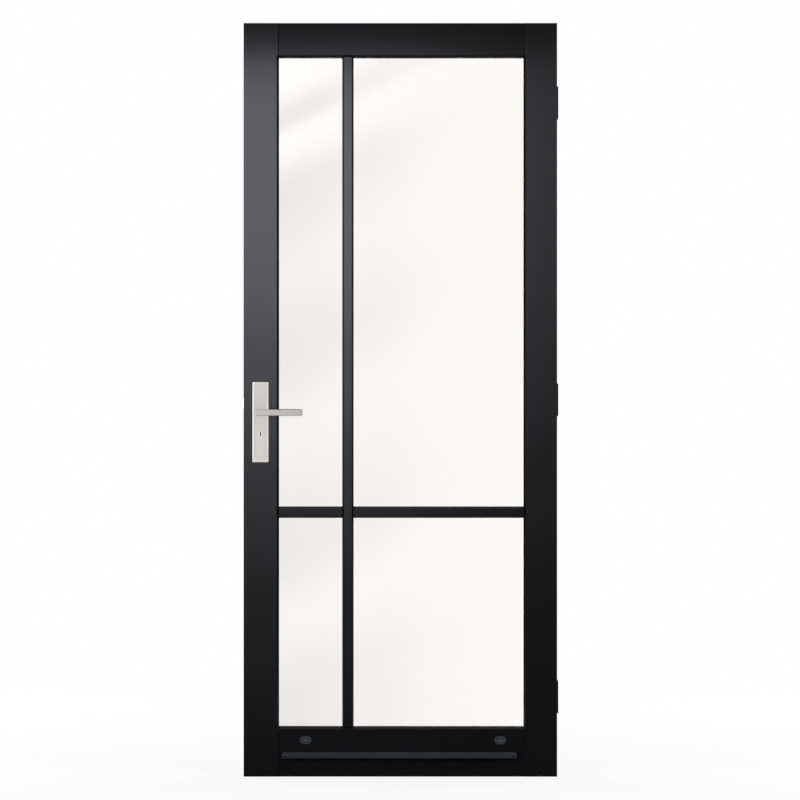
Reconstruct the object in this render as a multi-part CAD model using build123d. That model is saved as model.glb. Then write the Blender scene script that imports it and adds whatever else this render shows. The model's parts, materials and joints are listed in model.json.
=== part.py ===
from build123d import *
import math
import os

# A glazed timber outside door, seen from outside: X to the right, Y inward, Z up.
# The origin is the middle of the leaf's bottom edge, halfway through its thickness.

# Leaf
leaf_width = 880.0
leaf_height = 2115.0
leaf_thickness = 54.0
lock_stile_width = 98.0
hinge_stile_width = 93.0
top_rail_height = 95.0
bottom_rail_height = 138.0
edge_round = 1.5
sight_bevel_width = 5.0
sight_bevel_depth = 10.0
seam_half_width = 1.2
overrun = 6.0

# Dowelled corner joints
dowel_radius = 8.0
dowel_length = 100.0
dowel_clearance = 0.1
dowel_end_play = 1.0
dowel_edge_distance = 20.0
top_dowel_spacing = 40.0
bottom_dowel_spacing = 34.0
top_dowel_count = 2
bottom_dowel_count = 3

# Glazing rebate, sealed unit and seals
rebate_depth = 16.0
outer_lip = 13.0
seal_thickness = 3.0
seal_width = 10.0
seal_setback = 0.5
pane_thickness = 4.0
cavity_depth = 16.0
glass_edge_gap = 4.0
spacer_width = 6.5
edge_seal_width = 5.0
bead_bevel_depth = 8.0
block_length = 100.0
block_corner_distance = 130.0

# Glazing bars
bar_width = 31.4
bar_face_width = 23.0
bar_thickness = 12.0
bar_arris = 0.8
bar_side_height = 3.0
bar_from_lock_edge = 292.5
crossbar_height = 741.5
tape_width = 20.0
tape_thickness = 1.0
cavity_bar_width = 24.0
cavity_bar_gap = 1.0

# Drain caps in the bottom rail
cap_width = 33.0
cap_height = 22.0
cap_flange = 3.0
cap_rim_round = 1.2
cap_rim = 4.5
cap_wall = 1.5
cap_spigot_length = 12.0
cap_clearance = 0.2
cap_centre_height = 102.0
lock_side_cap_inset = 76.0
hinge_side_cap_inset = 67.0
drain_radius = 4.0

# Drip bar under the caps
drip_length = 657.0
drip_from_lock_stile = 11.0
drip_bottom = 53.0
drip_height = 15.5
drip_depth = 15.0
drip_flange = 2.5
drip_wall = 2.0
drip_nose_height = 9.0
drip_nose_round = 1.6
drip_screw_inset = 8.0
drip_screw_access_radius = 3.2
drip_screw_head_radius = 2.8
drip_screw_head_height = 2.0
drip_screw_length = 16.0

# Lock
lock_backset = 47.5
spindle_height = 1022.0
cylinder_drop = 60.0
case_thickness = 15.0
case_wall = 1.5
case_depth = 69.0
case_above_spindle = 62.0
case_below_spindle = 98.0
pocket_clearance = 0.5
faceplate_length = 235.0
faceplate_width = 20.0
faceplate_thickness = 3.0
faceplate_drop = 18.0
faceplate_screw_inset = 8.0
bolt_clearance = 0.3

# Latch, its guide and spring
latch_rise = 26.5
latch_height = 28.0
latch_thickness = 11.0
latch_throw = 11.0
latch_inside_length = 15.0
latch_rod_radius = 3.5
latch_rod_clearance = 0.1
latch_guide_from_head = 18.0
latch_guide_thickness = 3.0
latch_guide_height = 20.0
latch_hook_length = 5.0
latch_hook_thickness = 9.0
latch_hook_below_rod = 14.5
latch_lost_motion = 0.65
latch_bevel_flat = 3.0
spring_wire_radius = 0.5
spring_radius = 4.8
spring_end_gap = 0.1
spring_turns = 5
spring_wire_sides = 8

# Follower
hub_radius = 9.0
hub_clearance = 0.06
follower_flange_radius = 11.8
follower_flange_thickness = 8.0
follower_arm_radius = 17.0
follower_tip_radius = 3.5
return_wire_radius = 0.7
return_ring_radius = 11.2
return_leg_radius = 18.0
return_leg_angle = 200.0

# Dead bolt
dead_bolt_drop = 29.0
dead_bolt_height = 26.0
dead_bolt_thickness = 11.0
dead_bolt_head_length = 36.0
dead_bolt_tail_length = 30.0
dead_bolt_tail_height = 18.0
dead_bolt_tail_thickness = 6.0
dead_bolt_edge = 1.0

# Profile cylinder
cylinder_radius = 8.5
cylinder_web_width = 10.0
cylinder_total_height = 33.0
cylinder_proud = 1.0
cylinder_clearance = 0.2
cam_slot_width = 10.0
cam_play = 0.1
cam_radius = 15.3
cam_hub_radius = 8.0
cam_tooth_width = 8.0
cam_rest_angle = 30.0
cam_headroom = 0.9
plug_radius = 6.5
plug_clearance = 0.05
keyway_width = 4.2
keyway_height = 10.4
keyway_depth = 25.0
cylinder_screw_drop = 20.3
cylinder_hole_margin = 1.5

# Handle plates
plate_width = 44.5
plate_height = 224.0
plate_top_above_spindle = 85.0
plate_thickness = 9.0
plate_bevel = 3.2
plate_wall = 2.5
plate_boss_wall = 2.5
plate_bolt_inset = 12.5
plate_bolt_radius = 3.0
plate_bolt_bite = 4.0
plate_bolt_clearance = 0.2

# Levers and spindle
lever_reach = 114.5
lever_heel = 9.5
lever_height = 18.4
lever_thickness = 10.0
lever_projection = 58.0
lever_edge = 0.8
neck_radius = 9.0
neck_clearance = 0.06
neck_foot_gap = 1.0
bush_wall = 1.4
spindle_width = 8.0
spindle_clearance = 0.1
spindle_grip = 28.0
spindle_hole_margin = 2.0
grub_radius = 2.5
grub_length = 4.4
grub_from_plate = 8.0

# Screws
screw_head_radius = 3.9
screw_head_depth = 2.2
screw_shank_radius = 1.9
screw_length = 28.0
screw_clearance = 0.1
machine_screw_radius = 2.5
machine_screw_head_radius = 4.6
machine_screw_head_depth = 2.4
plate_bolt_head_radius = 5.6
plate_bolt_head_depth = 3.0

# Butt hinges on the inside edge
hinge_height = 89.0
hinge_leaf_width = 30.0
hinge_leaf_thickness = 2.5
hinge_gap = 2.0
knuckle_radius = 5.0
knuckle_standoff = 6.0
knuckle_count = 5
knuckle_play = 0.3
hinge_pin_radius = 2.75
hinge_pin_clearance = 0.05
hinge_tip_radius = 4.0
hinge_tip_height = 2.0
hinge_screw_spacing_y = 15.0
hinge_screw_spacing_z = 60.0
frame_screw_head_radius = 4.5
frame_screw_radius = 2.3
hinge_end_distance = 220.0

# Planes and lines that the pieces share
lock_edge = -leaf_width / 2
hinge_edge = leaf_width / 2
outside = -leaf_thickness / 2
inside = leaf_thickness / 2
sight_left = lock_edge + lock_stile_width
sight_right = hinge_edge - hinge_stile_width
sight_bottom = bottom_rail_height
sight_top = leaf_height - top_rail_height
sight_width = sight_right - sight_left
sight_height = sight_top - sight_bottom
sight_middle_x = (sight_left + sight_right) / 2
sight_middle_z = (sight_bottom + sight_top) / 2
rebate_left = sight_left - rebate_depth
rebate_right = sight_right + rebate_depth
rebate_bottom = sight_bottom - rebate_depth
rebate_top = sight_top + rebate_depth
glass_left = rebate_left + glass_edge_gap
glass_right = rebate_right - glass_edge_gap
glass_bottom = rebate_bottom + glass_edge_gap
glass_top = rebate_top - glass_edge_gap
lip_back = outside + outer_lip
outer_glass = lip_back + seal_thickness
cavity_front = outer_glass + pane_thickness
cavity_back = cavity_front + cavity_depth
inner_glass = cavity_back + pane_thickness
bead_back = inner_glass + seal_thickness
bar_x = lock_edge + bar_from_lock_edge
spindle_x = lock_edge + lock_backset
cylinder_z = spindle_height - cylinder_drop
case_front = lock_edge + faceplate_thickness
case_rear = case_front + case_depth
case_top = spindle_height + case_above_spindle
case_bottom = spindle_height - case_below_spindle
case_half = case_thickness / 2
case_inner_half = case_half - case_wall
faceplate_z = spindle_height - faceplate_drop
latch_z = spindle_height + latch_rise
latch_head_rear = lock_edge + latch_inside_length
latch_guide_x = latch_head_rear + latch_guide_from_head
dead_bolt_z = spindle_height - dead_bolt_drop
plate_top = spindle_height + plate_top_above_spindle
plate_bottom = plate_top - plate_height
plate_face = inside + plate_thickness
plate_bolt_heights = [plate_bottom + plate_bolt_inset, plate_top - plate_bolt_inset]
cylinder_half_length = plate_face + cylinder_proud
neck_foot = inside + neck_foot_gap
lever_back = inside + lever_projection - lever_thickness
drain_y = lip_back + drain_radius
hinge_axis_x = hinge_edge + hinge_gap / 2
hinge_axis_y = inside + knuckle_standoff
hinge_screw_y = inside - hinge_leaf_width / 2
hinge_heights = {
    "bottom": hinge_end_distance,
    "middle": leaf_height / 2,
    "top": leaf_height - hinge_end_distance,
}
cap_places = {
    "left": sight_left + lock_side_cap_inset,
    "right": sight_right - hinge_side_cap_inset,
}
drip_left = sight_left + drip_from_lock_stile
drip_right = drip_left + drip_length
drip_screw_z = drip_bottom + drip_nose_height / 2
drip_screw_places = [drip_left + drip_screw_inset, drip_right - drip_screw_inset]


def block(x0, x1, y0, y1, z0, z1):
    """A box between six planes."""
    return Pos((x0 + x1) / 2, (y0 + y1) / 2, (z0 + z1) / 2) * Box(x1 - x0, y1 - y0, z1 - z0)


def round_x(x0, x1, y, z, radius):
    """A round bar along X."""
    return Pos((x0 + x1) / 2, y, z) * Rot(0, 90, 0) * Cylinder(radius, x1 - x0)


def round_y(x, y0, y1, z, radius):
    """A round bar along Y."""
    return Pos(x, (y0 + y1) / 2, z) * Rot(90, 0, 0) * Cylinder(radius, y1 - y0)


def round_z(x, y, z0, z1, radius):
    """A round bar along Z."""
    return Pos(x, y, (z0 + z1) / 2) * Cylinder(radius, z1 - z0)


def facing(x, y, z):
    """A drawing plane that faces the viewer outside, with its y axis up; it extrudes outward."""
    return Plane(origin=(x, y, z), x_dir=(1, 0, 0), z_dir=(0, -1, 0))


def ring(left, right, bottom, top, width, y0, y1):
    """A rectangular ring of even width, seen from outside."""
    hole = block(left + width, right - width, y0 - overrun, y1 + overrun, bottom + width, top - width)
    return block(left, right, y0, y1, bottom, top) - hole


def countersunk(head_radius, head_depth, shank_radius, length, clearance=0.0):
    """A countersunk screw, or its hole, with its head on the XY plane and its shank along -Z."""
    below = (Align.CENTER, Align.CENTER, Align.MAX)
    head = Cone(shank_radius + clearance, head_radius + clearance, head_depth, align=below)
    shank = Cylinder(shank_radius + clearance, length + clearance, align=below)
    return head + shank


def wood_screw(clearance=0.0):
    return countersunk(screw_head_radius, screw_head_depth, screw_shank_radius, screw_length, clearance)


# Frame of the leaf
def flare(face, depth):
    """The bevel round the glass, from a face of the leaf inward; a negative depth runs outward."""
    before = face - math.copysign(overrun, depth)
    spread = sight_bevel_width * (1 + overrun / abs(depth))
    wide = facing(sight_middle_x, before, sight_middle_z)
    narrow = facing(sight_middle_x, face + depth, sight_middle_z)
    return loft(
        [
            wide * Rectangle(sight_width + 2 * spread, sight_height + 2 * spread),
            narrow * Rectangle(sight_width, sight_height),
        ]
    )


def seams():
    """The V grooves where the rails meet the stiles, on both faces of the leaf."""
    side = seam_half_width * math.sqrt(2)
    vee = Rot(0, 0, 45) * Box(side, side, leaf_height + overrun)
    places = [(x, face) for x in (sight_left, sight_right) for face in (outside, inside)]
    return [Pos(x, face, leaf_height / 2) * vee for x, face in places]


def dowels(clearance=0.0, end_play=0.0):
    """The dowels of the four corner joints, or their holes."""
    top_first = leaf_height - dowel_edge_distance
    heights = [top_first - i * top_dowel_spacing for i in range(top_dowel_count)]
    heights += [dowel_edge_distance + i * bottom_dowel_spacing for i in range(bottom_dowel_count)]
    half = dowel_length / 2 + end_play
    places = [(x, z) for x in (sight_left, sight_right) for z in heights]
    return [round_x(x - half, x + half, 0, z, dowel_radius + clearance) for x, z in places]


def eased(blank, lines):
    """A blank with its arrises on the given lines rounded. A line is an axis and two places."""
    chosen = []
    for edge in blank.edges():
        middle = edge.center()
        for axis, first, second in lines:
            across = (middle.X, middle.Y) if axis == Axis.Z else (middle.Z, middle.Y)
            near = math.dist(across, (first, second)) < edge_round
            if near and abs(edge.tangent_at(0).dot(axis.direction)) > math.cos(math.radians(1)):
                chosen.append(edge)
    return fillet(chosen, edge_round)


def moulded(blank):
    """A frame member with the rebate, the bevel, the seams and the dowel holes cut."""
    rebate = block(rebate_left, rebate_right, lip_back, inside + overrun, rebate_bottom, rebate_top)
    bevelled = blank - rebate - flare(outside, sight_bevel_depth)
    return bevelled - seams() - dowels(dowel_clearance, dowel_end_play)


def stile(x0, x1, outer_edge):
    blank = block(x0, x1, outside, inside, 0, leaf_height)
    return moulded(eased(blank, [(Axis.Z, outer_edge, face) for face in (outside, inside)]))


def lock_stile():
    result = stile(lock_edge, sight_left, lock_edge) - lock_pocket()
    through = inside + overrun
    result -= round_y(spindle_x, -through, through, spindle_height, hub_radius + spindle_hole_margin)
    result -= cylinder_prism(-through, through, cylinder_hole_margin)
    for z in plate_bolt_heights:
        result -= round_y(spindle_x, -through, through, z, plate_bolt_radius + plate_bolt_clearance)
    return result - [lock_edge_screw(z, wood_screw(screw_clearance)) for z in faceplate_screw_heights()]


def hinge_stile():
    result = stile(sight_right, hinge_edge, hinge_edge)
    for z in hinge_heights.values():
        result -= block(
            hinge_edge - hinge_leaf_thickness,
            hinge_edge + overrun,
            inside - hinge_leaf_width,
            inside + overrun,
            z - hinge_height / 2,
            z + hinge_height / 2,
        )
        result -= door_hinge_screws(z, screw_clearance)
    return result


def top_rail():
    blank = block(sight_left, sight_right, outside, inside, sight_top, leaf_height)
    return moulded(eased(blank, [(Axis.X, leaf_height, face) for face in (outside, inside)]))


def bottom_rail():
    blank = block(sight_left, sight_right, outside, inside, 0, sight_bottom)
    rail = moulded(eased(blank, [(Axis.X, 0, face) for face in (outside, inside)]))
    for x in cap_places.values():
        socket = cap_outline(cap_wall + cap_clearance)
        rail -= extrude(facing(x, drain_y + drain_radius, cap_centre_height) * socket, leaf_thickness)
        rail -= round_z(x, drain_y, cap_centre_height, rebate_bottom + overrun, drain_radius)
    return rail - drip_bar_screws(screw_clearance)


# Sealed glass unit, its seals and beads
def pane(front):
    return block(glass_left, glass_right, front, front + pane_thickness, glass_bottom, glass_top)


def edge_seal():
    return ring(
        glass_left, glass_right, glass_bottom, glass_top, edge_seal_width, cavity_front, cavity_back
    )


def spacer_frame():
    return ring(
        glass_left + edge_seal_width,
        glass_right - edge_seal_width,
        glass_bottom + edge_seal_width,
        glass_top - edge_seal_width,
        spacer_width,
        cavity_front,
        cavity_back,
    )


def glazing_seal(front):
    """A foam seal round the sight line, set back a little from it."""
    spread = seal_width + seal_setback
    return ring(
        sight_left - spread,
        sight_right + spread,
        sight_bottom - spread,
        sight_top + spread,
        seal_width,
        front,
        front + seal_thickness,
    )


def setting_blocks():
    """Packers between the edges of the sealed unit and the rebate."""
    half = block_length / 2
    inset = block_corner_distance
    blocks = []
    for x in (glass_left + inset, glass_right - inset):
        for z0, z1 in ((rebate_bottom, glass_bottom), (glass_top, rebate_top)):
            blocks.append(block(x - half, x + half, outer_glass, inner_glass, z0, z1))
    for z in (glass_bottom + inset, glass_top - inset):
        for x0, x1 in ((rebate_left, glass_left), (glass_right, rebate_right)):
            blocks.append(block(x0, x1, outer_glass, inner_glass, z - half, z + half))
    return blocks


def glazing_beads():
    """Four mitred beads that hold the sealed unit from inside."""
    beads = ring(rebate_left, rebate_right, rebate_bottom, rebate_top, rebate_depth, bead_back, inside)
    beads -= flare(inside, -bead_bevel_depth)
    reach = (rebate_right - rebate_left) / 2
    middle = rebate_left + reach
    upper, lower = rebate_top - reach, rebate_bottom + reach
    top_left, top_right = (rebate_left, rebate_top), (rebate_right, rebate_top)
    foot_left, foot_right = (rebate_left, rebate_bottom), (rebate_right, rebate_bottom)
    outlines = {
        "top": [top_left, (middle, upper), top_right],
        "bottom": [foot_left, foot_right, (middle, lower)],
        "lock_side": [top_left, foot_left, (middle, lower), (middle, upper)],
        "hinge_side": [top_right, (middle, upper), (middle, lower), foot_right],
    }
    pieces = {}
    for name, points in outlines.items():
        mitred = make_face(Polyline(*points, close=True))
        pieces["glazing_bead_" + name] = beads & extrude(facing(0, inside, 0) * mitred, inside - bead_back)
    return pieces


# Glazing bars stuck on both panes, and their shadow bars in the cavity
def bar_section():
    """A bar's section: x across the bar, y away from the glass."""
    half = bar_width / 2
    face = bar_face_width / 2
    outline = [
        (-half, 0),
        (half, 0),
        (half, bar_side_height),
        (face, bar_thickness),
        (-face, bar_thickness),
        (-half, bar_side_height),
    ]
    section = make_face(Polyline(*outline, close=True))
    return fillet(section.vertices().sort_by(Axis.Y)[-2:], bar_arris)


def bar_runs():
    """Each bar's name with its start, its length and whether it stands upright."""
    half = bar_width / 2
    return {
        "vertical": ((bar_x, sight_bottom), sight_height, True),
        "left": ((sight_left, crossbar_height), bar_x - half - sight_left, False),
        "right": ((bar_x + half, crossbar_height), sight_right - bar_x - half, False),
    }


def laid(shape, start, y, upright):
    """A shape made along +Z, stood at a start on the glass or laid along +X from it."""
    x, z = start
    return Pos(x, y, z) * (shape if upright else Rot(0, 90, 0) * shape)


def stuck_bars(name, glass, way):
    """The bars on one pane. way is -1 outside and 1 inside."""
    bars = {}
    for run, (start, length, upright) in bar_runs().items():
        section = bar_section() if way > 0 else Rot(0, 0, 180) * bar_section()
        bar = extrude(section, length)
        bars[f"{name}_bar_{run}"] = laid(bar, start, glass + way * tape_thickness, upright)
    return bars


def bar_tapes():
    """Strips of double-sided tape between the bars and the panes."""
    foot = (Align.CENTER, Align.CENTER, Align.MIN)
    tapes = []
    for glass, way in ((outer_glass, -1), (inner_glass, 1)):
        for start, length, upright in bar_runs().values():
            strip = Box(tape_width, tape_thickness, length, align=foot)
            tapes.append(laid(strip, start, glass + way * tape_thickness / 2, upright))
    return tapes


def cavity_bars():
    """Shadow bars between the panes, from the spacer to the upright and across."""
    half = cavity_bar_width / 2
    inset = edge_seal_width + spacer_width
    y0, y1 = cavity_front + cavity_bar_gap, cavity_back - cavity_bar_gap
    z0, z1 = crossbar_height - half, crossbar_height + half
    foot, head = glass_bottom + inset, glass_top - inset
    return {
        "cavity_bar_vertical": block(bar_x - half, bar_x + half, y0, y1, foot, head),
        "cavity_bar_left": block(glass_left + inset, bar_x - half, y0, y1, z0, z1),
        "cavity_bar_right": block(bar_x + half, glass_right - inset, y0, y1, z0, z1),
    }


# Drain caps and drip bar
def cap_outline(grow):
    """The cap's opening, widened by a margin."""
    return SlotOverall(cap_width - 2 * (cap_rim - grow), cap_height - 2 * (cap_rim - grow))


def drain_cap(x):
    """A flanged oval spout with a ramp in its lower half."""
    face = outside - cap_flange
    back = outside + cap_spigot_length
    flange = extrude(facing(x, outside, cap_centre_height) * SlotOverall(cap_width, cap_height), cap_flange)
    flange = fillet(flange.faces().sort_by(Axis.Y)[0].edges(), cap_rim_round)
    spigot = extrude(facing(x, back, cap_centre_height) * cap_outline(cap_wall), cap_spigot_length)
    bore = extrude(facing(x, back + overrun, cap_centre_height) * cap_outline(0), back - face + 2 * overrun)
    low = cap_centre_height - cap_height / 2
    slope = make_face(Polyline((-face, low), (-back, low), (-back, cap_centre_height), close=True))
    side = Plane(origin=(x + cap_width / 2, 0, 0), x_dir=(0, -1, 0), z_dir=(-1, 0, 0))
    ramp = extrude(side * slope, cap_width) & bore
    return flange + spigot - bore + ramp


def drip_bar():
    """An extruded drip profile: a flange on the rail, a sloping top and a nose with an open underside."""
    fall = (drip_height - drip_nose_height) / (drip_depth - drip_flange)
    under = drip_height - drip_wall * math.hypot(1, fall)
    nose = drip_depth - drip_wall
    outline = [
        (0, 0),
        (drip_flange, 0),
        (drip_flange, under),
        (nose, under - fall * (nose - drip_flange)),
        (nose, 0),
        (drip_depth, 0),
        (drip_depth, drip_nose_height),
        (drip_flange, drip_height),
        (0, drip_height),
    ]
    side = Plane(origin=(drip_right, outside, drip_bottom), x_dir=(0, -1, 0), z_dir=(-1, 0, 0))
    bar = extrude(side * make_face(Polyline(*outline, close=True)), drip_length)
    front = bar.edges().filter_by(Axis.X).group_by(Axis.Y)[0]
    bar = fillet(front.sort_by(Axis.Z)[-1], drip_nose_round)
    before_nose = outside - drip_depth - overrun
    flange_face = outside - drip_flange
    for x in drip_screw_places:
        bar -= round_y(x, before_nose, flange_face, drip_screw_z, drip_screw_access_radius)
    return bar - drip_bar_screws(screw_clearance)


def drip_bar_screws(clearance=0.0):
    """The drip bar's end screws, or their holes without the heads."""
    face = outside - drip_flange
    end = face + drip_screw_length + clearance
    screws = []
    for x in drip_screw_places:
        shank = round_y(x, face, end, drip_screw_z, screw_shank_radius + clearance)
        head = round_y(x, face - drip_screw_head_height, face, drip_screw_z, drip_screw_head_radius)
        screws.append(shank if clearance else shank + head)
    return screws


# Mortise lock
def lock_pocket():
    half = case_half + pocket_clearance
    mouth = lock_edge - overrun
    rear = case_rear + pocket_clearance
    pocket = block(mouth, rear, -half, half, case_bottom - pocket_clearance, case_top + pocket_clearance)
    return [pocket, faceplate_blank(mouth)]


def faceplate_blank(front):
    half = faceplate_length / 2
    return block(
        front, case_front, -faceplate_width / 2, faceplate_width / 2, faceplate_z - half, faceplate_z + half
    )


def faceplate_screw_heights():
    reach = faceplate_length / 2 - faceplate_screw_inset
    return [faceplate_z - reach, faceplate_z + reach]


def lock_edge_screw(z, screw):
    """A screw driven into the leaf from its lock edge."""
    return Pos(lock_edge, 0, z) * Rot(0, -90, 0) * screw


def cylinder_screw(clearance=0.0):
    length = lock_backset + cylinder_web_width / 2
    screw = countersunk(
        machine_screw_head_radius, machine_screw_head_depth, machine_screw_radius, length, clearance
    )
    return lock_edge_screw(cylinder_z - cylinder_screw_drop, screw)


def bolt_openings():
    """The holes through the faceplate and the case's front wall for both bolts."""
    front, back = lock_edge - overrun, case_front + case_wall + overrun
    sizes = [(latch_z, latch_height, latch_thickness), (dead_bolt_z, dead_bolt_height, dead_bolt_thickness)]
    openings = []
    for z, height, thickness in sizes:
        half_z = height / 2 + bolt_clearance
        half_y = thickness / 2 + bolt_clearance
        openings.append(block(front, back, -half_y, half_y, z - half_z, z + half_z))
    return openings


def faceplate():
    plate = faceplate_blank(lock_edge) - bolt_openings() - cylinder_screw(screw_clearance)
    return plate - [lock_edge_screw(z, wood_screw(screw_clearance)) for z in faceplate_screw_heights()]


def lock_side_holes():
    """Bearing and cylinder holes through the case and its cover."""
    reach = case_half + overrun
    bearing = round_y(spindle_x, -reach, reach, spindle_height, hub_radius + hub_clearance)
    return [bearing, cylinder_prism(-reach, reach, cylinder_clearance)]


def lock_case():
    """A folded steel tray with the latch's guide, open on the inside."""
    top_of_walls = case_inner_half
    case = block(case_front, case_rear, -case_half, top_of_walls, case_bottom, case_top)
    case -= block(
        case_front + case_wall,
        case_rear - case_wall,
        -case_inner_half,
        top_of_walls + overrun,
        case_bottom + case_wall,
        case_top - case_wall,
    )
    half = latch_guide_height / 2
    guide_end = latch_guide_x + latch_guide_thickness
    guide = block(latch_guide_x, guide_end, -top_of_walls, top_of_walls, latch_z - half, latch_z + half)
    guide -= round_x(
        latch_guide_x - overrun, guide_end + overrun, 0, latch_z, latch_rod_radius + latch_rod_clearance
    )
    return case + guide - lock_side_holes() - bolt_openings() - cylinder_screw(screw_clearance)


def lock_case_cover():
    cover = block(case_front, case_rear, case_inner_half, case_half, case_bottom, case_top)
    return cover - lock_side_holes()


def latch_bolt():
    """A sprung latch with a bevelled nose, a round rod and a hook behind the follower's arm."""
    half = latch_thickness / 2
    tip = lock_edge - latch_throw
    outline = [
        (tip, half),
        (tip, half - latch_bevel_flat),
        (lock_edge, -half),
        (latch_head_rear, -half),
        (latch_head_rear, half),
    ]
    foot = Plane(origin=(0, 0, latch_z - latch_height / 2))
    head = extrude(foot * make_face(Polyline(*outline, close=True)), latch_height)
    hook_x = spindle_x + follower_tip_radius + latch_lost_motion
    rod = round_x(latch_head_rear, hook_x + latch_hook_length, 0, latch_z, latch_rod_radius)
    half_hook = latch_hook_thickness / 2
    hook = block(
        hook_x,
        hook_x + latch_hook_length,
        -half_hook,
        half_hook,
        latch_z - latch_hook_below_rod,
        latch_z + latch_rod_radius,
    )
    return head + rod + hook


def latch_spring():
    """A coil on the latch's rod, between its head and the guide."""
    start = latch_head_rear + spring_end_gap + spring_wire_radius
    length = latch_guide_from_head - 2 * (spring_end_gap + spring_wire_radius)
    coil = Helix(pitch=length / spring_turns, height=length, radius=spring_radius)
    section = RegularPolygon(spring_wire_radius, spring_wire_sides)
    wire = Plane(origin=coil @ 0, z_dir=coil % 0) * section
    return Pos(start, 0, latch_z) * Rot(0, 90, 0) * sweep(wire, path=coil)


def dead_bolt():
    half = dead_bolt_thickness / 2
    rear = lock_edge + dead_bolt_head_length
    z0, z1 = dead_bolt_z - dead_bolt_height / 2, dead_bolt_z + dead_bolt_height / 2
    head = block(lock_edge, rear, -half, half, z0, z1)
    head = chamfer(head.faces().sort_by(Axis.X)[0].edges(), dead_bolt_edge)
    half_tail = dead_bolt_tail_thickness / 2
    half_height = dead_bolt_tail_height / 2
    tail = block(
        rear,
        rear + dead_bolt_tail_length,
        -half_tail,
        half_tail,
        dead_bolt_z - half_height,
        dead_bolt_z + half_height,
    )
    return head + tail


def follower():
    """The hub that the spindle turns, with the arm that draws the latch."""
    half = follower_flange_thickness / 2
    arm = Pos(0, follower_arm_radius / 2) * Rectangle(2 * follower_tip_radius, follower_arm_radius)
    tip = Pos(0, follower_arm_radius) * Circle(follower_tip_radius)
    outline = Circle(follower_flange_radius) + arm + tip
    plate = extrude(facing(spindle_x, half, spindle_height) * outline, follower_flange_thickness)
    hub = round_y(spindle_x, -case_half, case_half, spindle_height, hub_radius)
    return plate + hub - spindle_bar(case_half + overrun, spindle_clearance)


def follower_spring():
    """A wire ring with two legs beside the follower, under the cover."""
    y = (follower_flange_thickness / 2 + case_inner_half) / 2
    open_angle = return_leg_angle - 180
    sweep_angle = 180 + 2 * open_angle
    hoop = Torus(return_ring_radius, return_wire_radius, major_angle=sweep_angle, align=Align.NONE)
    shape = Rot(0, 0, -open_angle) * hoop
    for angle in (-open_angle, return_leg_angle):
        shape += Rot(0, 0, angle) * round_x(return_ring_radius, return_leg_radius, 0, 0, return_wire_radius)
    return Pos(spindle_x, y, spindle_height) * Rot(90, 0, 0) * shape


# Profile cylinder
def cylinder_outline(margin):
    """The pear-shaped section of the cylinder about its plug's axis, widened by a margin."""
    web = cylinder_web_width / 2 + margin
    foot = cylinder_radius - cylinder_total_height + cylinder_web_width / 2
    neck = Pos(0, foot / 2) * Rectangle(2 * web, -foot)
    return Circle(cylinder_radius + margin) + neck + Pos(0, foot) * Circle(web)


def cylinder_prism(y0, y1, margin=0.0):
    return extrude(facing(spindle_x, y1, cylinder_z) * cylinder_outline(margin), y1 - y0)


def cylinder_body():
    body = cylinder_prism(-cylinder_half_length, cylinder_half_length)
    reach = cylinder_half_length + overrun
    body -= round_y(spindle_x, -reach, reach, cylinder_z, plug_radius)
    half_slot = cam_slot_width / 2
    side = cylinder_radius + overrun
    bridge = cylinder_z - cam_radius - cam_headroom
    body -= block(spindle_x - side, spindle_x + side, -half_slot, half_slot, bridge, cylinder_z + side)
    return body - cylinder_screw(screw_clearance)


def outer_plug():
    end = cam_slot_width / 2 + cam_play
    plug = round_y(spindle_x, -cylinder_half_length, -end, cylinder_z, plug_radius - plug_clearance)
    half = keyway_width / 2
    return plug - block(
        spindle_x - half,
        spindle_x + half,
        -cylinder_half_length - overrun,
        keyway_depth - cylinder_half_length,
        cylinder_z - keyway_height / 2,
        cylinder_z + keyway_height / 2,
    )


def cam():
    """The driver between the plugs, its tooth resting low and to one side."""
    length = cam_slot_width - 2 * cam_play
    tooth = Pos(0, -cam_radius / 2) * Rectangle(cam_tooth_width, cam_radius)
    outline = Circle(cam_hub_radius) + (Rot(0, 0, cam_rest_angle) * tooth & Circle(cam_radius))
    return extrude(facing(spindle_x, length / 2, cylinder_z) * outline, length)


# Handle plates, levers and spindle
def handle_plate():
    """A bevelled hollow plate on the outside face, with bosses for lever, cylinder and bolts."""
    half = plate_width / 2
    left, right = spindle_x - half, spindle_x + half
    plate = block(left, right, -plate_face, -inside, plate_bottom, plate_top)
    plate = chamfer(plate.faces().sort_by(Axis.Y)[0].edges(), plate_bevel)
    cover = plate_face - plate_wall
    hollow = block(
        left + plate_wall,
        right - plate_wall,
        -cover,
        overrun - inside,
        plate_bottom + plate_wall,
        plate_top - plate_wall,
    )
    bush = neck_radius + neck_clearance + bush_wall + plate_boss_wall
    hollow -= round_y(spindle_x, -plate_face, 0, spindle_height, bush)
    hollow -= cylinder_prism(-plate_face, 0, plate_boss_wall)
    bolt_boss = plate_bolt_radius + plate_bolt_clearance + plate_boss_wall
    for z in plate_bolt_heights:
        hollow -= round_y(spindle_x, -plate_face, 0, z, bolt_boss)
    plate -= hollow
    plate -= cylinder_prism(-plate_face - overrun, 0, cylinder_clearance)
    plate -= round_y(spindle_x, -plate_face - overrun, 0, spindle_height, neck_radius + bolt_clearance)
    return plate - round_y(spindle_x, -cover, 0, spindle_height, bush - plate_boss_wall + neck_clearance)


def plate_bolts(clearance=0.0):
    """Bolts through the leaf from the inside plate into the outside plate, or their holes."""
    length = plate_face + inside + plate_bolt_bite
    bolt = countersunk(plate_bolt_head_radius, plate_bolt_head_depth, plate_bolt_radius, length, clearance)
    return [Pos(spindle_x, plate_face, z) * Rot(-90, 0, 0) * bolt for z in plate_bolt_heights]


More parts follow.
